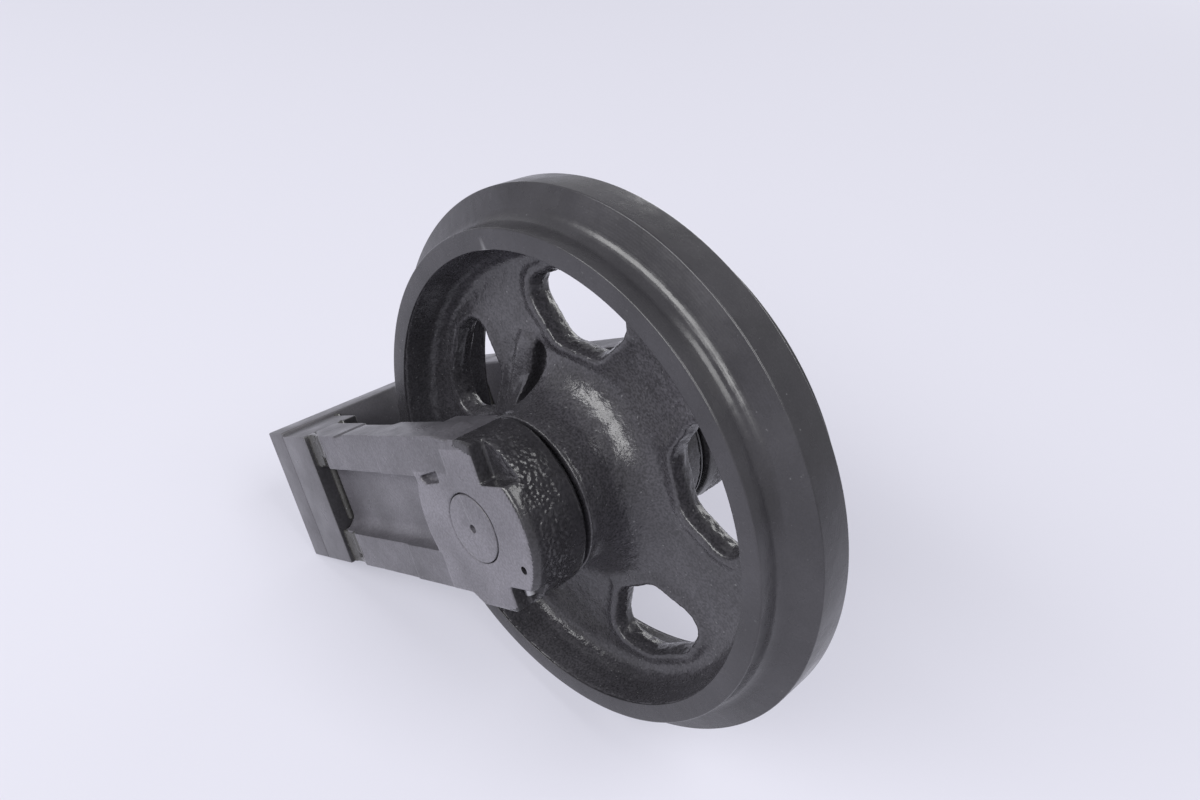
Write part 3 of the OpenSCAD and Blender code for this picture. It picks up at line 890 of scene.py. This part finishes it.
# Face and boss paint are the same black enamel as cast_paint with a lighter tone: painted brightening for the pale
# surroundings that their flat faces reflect.
lit_face_paint = black_paint("lit_face_paint", 0.08, 0.34, 1.8 * MM, 0.2 * MM, mottle=0.16, edge_wear_and_highlight=0.2, specks=0.72)
lit_boss_paint = black_paint("lit_boss_paint", 0.115, 0.32, 1.8 * MM, 0.2 * MM, mottle=0.16, edge_wear_and_highlight=0.2, specks=0.72)
plate_paint = black_paint("plate_paint", 0.07, 0.34, 1.4 * MM, 0.07 * MM, mottle=0.1, edge_wear_and_highlight=0.4)
weld_paint = black_paint("weld_paint", 0.038, 0.18, 1.8 * MM, 0.08 * MM, edge_wear_and_highlight=0, hue=(1.03, 1, 0.97))
# Darker paint for the foot's front face: painted shade on the wall of the pocket.
painted_shade_paint = black_paint("painted_shade_paint", 0.025, 0.3, 1.8 * MM, 0.07 * MM, edge_wear_and_highlight=0)


def bare(name, colour, metal, roughness, grain, grain_depth):
    """A bare inner surface: bronze, steel, iron or rubber, with fine uneven grain."""
    finish = bpy.data.materials.new(name)
    finish.use_nodes = True
    nodes, links = finish.node_tree.nodes, finish.node_tree.links
    shader = nodes["Principled BSDF"]
    place = nodes.new("ShaderNodeTexCoord").outputs["Object"]
    dull = tuple(TONE_DULL * channel for channel in colour)
    tone = noise(nodes, links, place, TONE_GRAIN, 4)
    links.new(ramp(nodes, links, tone, (0.3, dull), (0.7, colour)), shader.inputs["Base Color"])
    sheen = noise(nodes, links, place, BARE_SHEEN_GRAIN)
    smooth, rough = (roughness + play for play in BARE_SHEEN_PLAY)
    sheen = ramp(nodes, links, sheen, (0.3, smooth), (0.7, rough))
    links.new(sheen, shader.inputs["Roughness"])
    shader.inputs["Metallic"].default_value = metal
    links.new(bump(nodes, links, noise(nodes, links, place, grain), grain_depth), shader.inputs["Normal"])
    return finish


bare_finishes = {
    "bronze": bare("bronze", (0.6, 0.36, 0.12), 1, 0.32, 0.8 * MM, 0.02 * MM),
    "pin_steel": bare("pin_steel", (0.46, 0.46, 0.48), 1, 0.35, 0.8 * MM, 0.02 * MM),
    "seal_iron": bare("seal_iron", (0.38, 0.38, 0.4), 1, 0.28, 0.6 * MM, 0.01 * MM),
    "rubber": bare("rubber", (0.02, 0.02, 0.022), 0, 0.6, 0.7 * MM, 0.05 * MM)}
for subpart in frame["record"]["subparts"]:
    node = frame["nodes"][subpart["node"]]
    node.data.materials.clear()
    node.data.materials.append(bare_finishes.get(subpart["material_slot"], plate_paint))


def paint(piece, *finishes):
    piece.data.materials.clear()
    for finish in finishes:
        piece.data.materials.append(finish)


def paint_faces(piece, finish_of):
    """Gives each face the finish that finish_of picks from its middle and normal in the level frame."""
    turn_back = REST_TO_LEVEL.to_3x3()
    for face in piece.data.polygons:
        face.material_index = finish_of(REST_TO_LEVEL @ face.center, turn_back @ face.normal)


# Assembly

paint(fit(rim(), "wheel_rim", "wheel", "wheel_paint", "idler_wheel"), turned_paint)
paint(fit(web(), "wheel_web", "wheel", "wheel_paint", "idler_wheel"), web_paint)
for side_name, side in (("near", -1), ("far", 1)):
    paint(fit(hub_end(side), side_name + "_hub_end", "wheel", "wheel_paint", "idler_wheel"), web_paint)


def fit_pair(piece, name, slot, *finishes):
    """Fits a far piece and its near mirror image in place of their nodes."""
    pair = {"near": swap_sides(piece), "far": piece}
    for side_name, one in pair.items():
        node = side_name + "_" + name
        paint(fit(one, node + "_skin", "yoke", slot, node), *finishes)
    return pair.values()


# Where the bracket's finishes end
face_skin = 2.5 * MM
face_margin = 1 * MM
cast_from_x = 8 * MM
boss_skin = 0.55 * MM


def bracket_finish(place, normal):
    """Lighter face paint (painted brightening) on the arm, cast paint on the block's front and notches, and the
    lighter boss paint (painted brightening) on its face.
    """
    height = abs(place.y)
    in_circle = math.hypot(place.x, place.z) < face_r + face_margin
    on_face = abs(normal.y) > 0.5 and height > face_y - face_skin and in_circle
    if not on_face and place.x > cast_from_x:
        return 1
    return 2 if height > face_y - boss_skin and place.x > -boss_r else 0


def foot_finish(place, normal):
    """Darker paint (painted shade) on the foot's front, above the weld, and plate paint on the rest."""
    return 1 if normal.x > 0.8 else 0


for skin in fit_pair(bracket(), "bracket", "bracket_paint", lit_face_paint, cast_paint, lit_boss_paint):
    paint_faces(skin, bracket_finish)
for skin in fit_pair(foot(), "foot", "plate_paint", plate_paint, painted_shade_paint):
    paint_faces(skin, foot_finish)
fit_pair(groove_welds(), "groove_welds", "weld_paint", weld_paint)
fit_pair(pocket_weld(), "pocket_weld", "weld_paint", weld_paint)
fit_pair(inner_welds(), "inner_welds", "weld_paint", weld_paint)
paint(fit(cross_plate(), "cross_plate_skin", "yoke", "plate_paint", "cross_plate"), plate_paint)
# The shaft's ends take the lighter boss paint, with its painted brightening.
paint(fit(shaft(), "shaft_skin", "yoke", "shaft_paint", "shaft"), lit_boss_paint)


# Camera, solved from the photograph's circles and the yoke's edges

CAMERA_FROM_AXLE = Vector((322.8, -378.8, 434.9)) * MM
CAMERA_AIM_FROM_AXLE = Vector((-17.6, 21.9, 35.9)) * MM
CAMERA_ROLL = math.radians(8.63)
CAMERA_LENS = 28.25
SENSOR_WIDTH = 36.0
CLIP_START = 10 * MM


def place_camera():
    bpy.ops.object.camera_add(location=axle + CAMERA_FROM_AXLE)
    camera = bpy.context.object
    aim = (CAMERA_AIM_FROM_AXLE - CAMERA_FROM_AXLE).to_track_quat("-Z", "Y")
    camera.rotation_euler = (aim.to_matrix() @ Matrix.Rotation(CAMERA_ROLL, 3, "Z")).to_euler()
    camera.data.lens = CAMERA_LENS
    camera.data.sensor_width = SENSOR_WIDTH
    camera.data.clip_start = CLIP_START
    scene.camera = camera


place_camera()

# Floor and light

FLOOR_SIZE = 40
PAPER = (0.8, 0.795, 0.88, 1)
PAPER_ROUGHNESS = 0.8
PAPER_LOOK = (0.64, 0.64, 0.735, 1)
PAPER_EVENNESS = 0.5
STUDIO = (0.95, 0.95, 1, 1)
STUDIO_LIGHT = 0.24
STUDIO_LOOK = 0.55

# Softboxes: direction from the axle, then distance, width and height in metres and power in watts
SOFTBOXES = {
    "front_softbox": ((-0.08, -0.77, 0.58), 6.2, 8.4, 2.4, 500),
    "top_softbox": ((0.45, 0.1, 0.85), 6.2, 3.2, 3.2, 165),
    "back_softbox": ((-0.25, 1.0, 0.22), 6.8, 6.0, 2.2, 144)}

bpy.ops.mesh.primitive_plane_add(size=FLOOR_SIZE)
floor = bpy.context.object
floor.name = "floor"


def by_sight(nodes, links, lighting, looks):
    """One level for the light that a surface spreads, another for what camera and reflections see."""
    ray = nodes.new("ShaderNodeLightPath")
    seen = ray.outputs["Is Camera Ray"]
    for kind in ("Is Glossy Ray", "Is Transmission Ray"):
        either = nodes.new("ShaderNodeMath")
        either.operation = "MAXIMUM"
        links.new(seen, either.inputs[0])
        links.new(ray.outputs[kind], either.inputs[1])
        seen = either.outputs["Value"]
    level = nodes.new("ShaderNodeMapRange")
    level.inputs["To Min"].default_value = lighting
    level.inputs["To Max"].default_value = looks
    links.new(seen, level.inputs["Value"])
    return level.outputs["Result"]


def studio():
    """Even pale walls, dimmer as a light than they look."""
    room = bpy.data.worlds.new("studio")
    room.use_nodes = True
    nodes, links = room.node_tree.nodes, room.node_tree.links
    nodes["Background"].inputs["Color"].default_value = STUDIO
    links.new(by_sight(nodes, links, STUDIO_LIGHT, STUDIO_LOOK), nodes["Background"].inputs["Strength"])
    return room


def paper():
    """Pale paper that looks more even than it is lit, with part of its shadows kept."""
    sheet = bpy.data.materials.new("paper")
    sheet.use_nodes = True
    sheet.cycles.emission_sampling = "NONE"
    nodes, links = sheet.node_tree.nodes, sheet.node_tree.links
    lit = nodes["Principled BSDF"]
    lit.inputs["Base Color"].default_value = PAPER
    lit.inputs["Roughness"].default_value = PAPER_ROUGHNESS
    even = nodes.new("ShaderNodeEmission")
    even.inputs["Color"].default_value = PAPER_LOOK
    blend = nodes.new("ShaderNodeMixShader")
    links.new(by_sight(nodes, links, 0, PAPER_EVENNESS), blend.inputs[0])
    links.new(lit.outputs["BSDF"], blend.inputs[1])
    links.new(even.outputs["Emission"], blend.inputs[2])
    links.new(blend.outputs["Shader"], nodes["Material Output"].inputs["Surface"])
    return sheet


floor.data.materials.append(paper())
scene.world = studio()


def softbox(name, direction, distance, width, height, power):
    """An area light that shines on the axle from a direction."""
    place = axle + Vector(direction).normalized() * distance
    aim = (axle - place).to_track_quat("-Z", "Y").to_euler()
    bpy.ops.object.light_add(type="AREA", location=place, rotation=aim)
    light = bpy.context.object
    light.name = name
    light.data.shape = "RECTANGLE"
    light.data.size = width
    light.data.size_y = height
    light.data.energy = power
    light.visible_camera = False


for lamp_name, lamp in SOFTBOXES.items():
    softbox(lamp_name, *lamp)
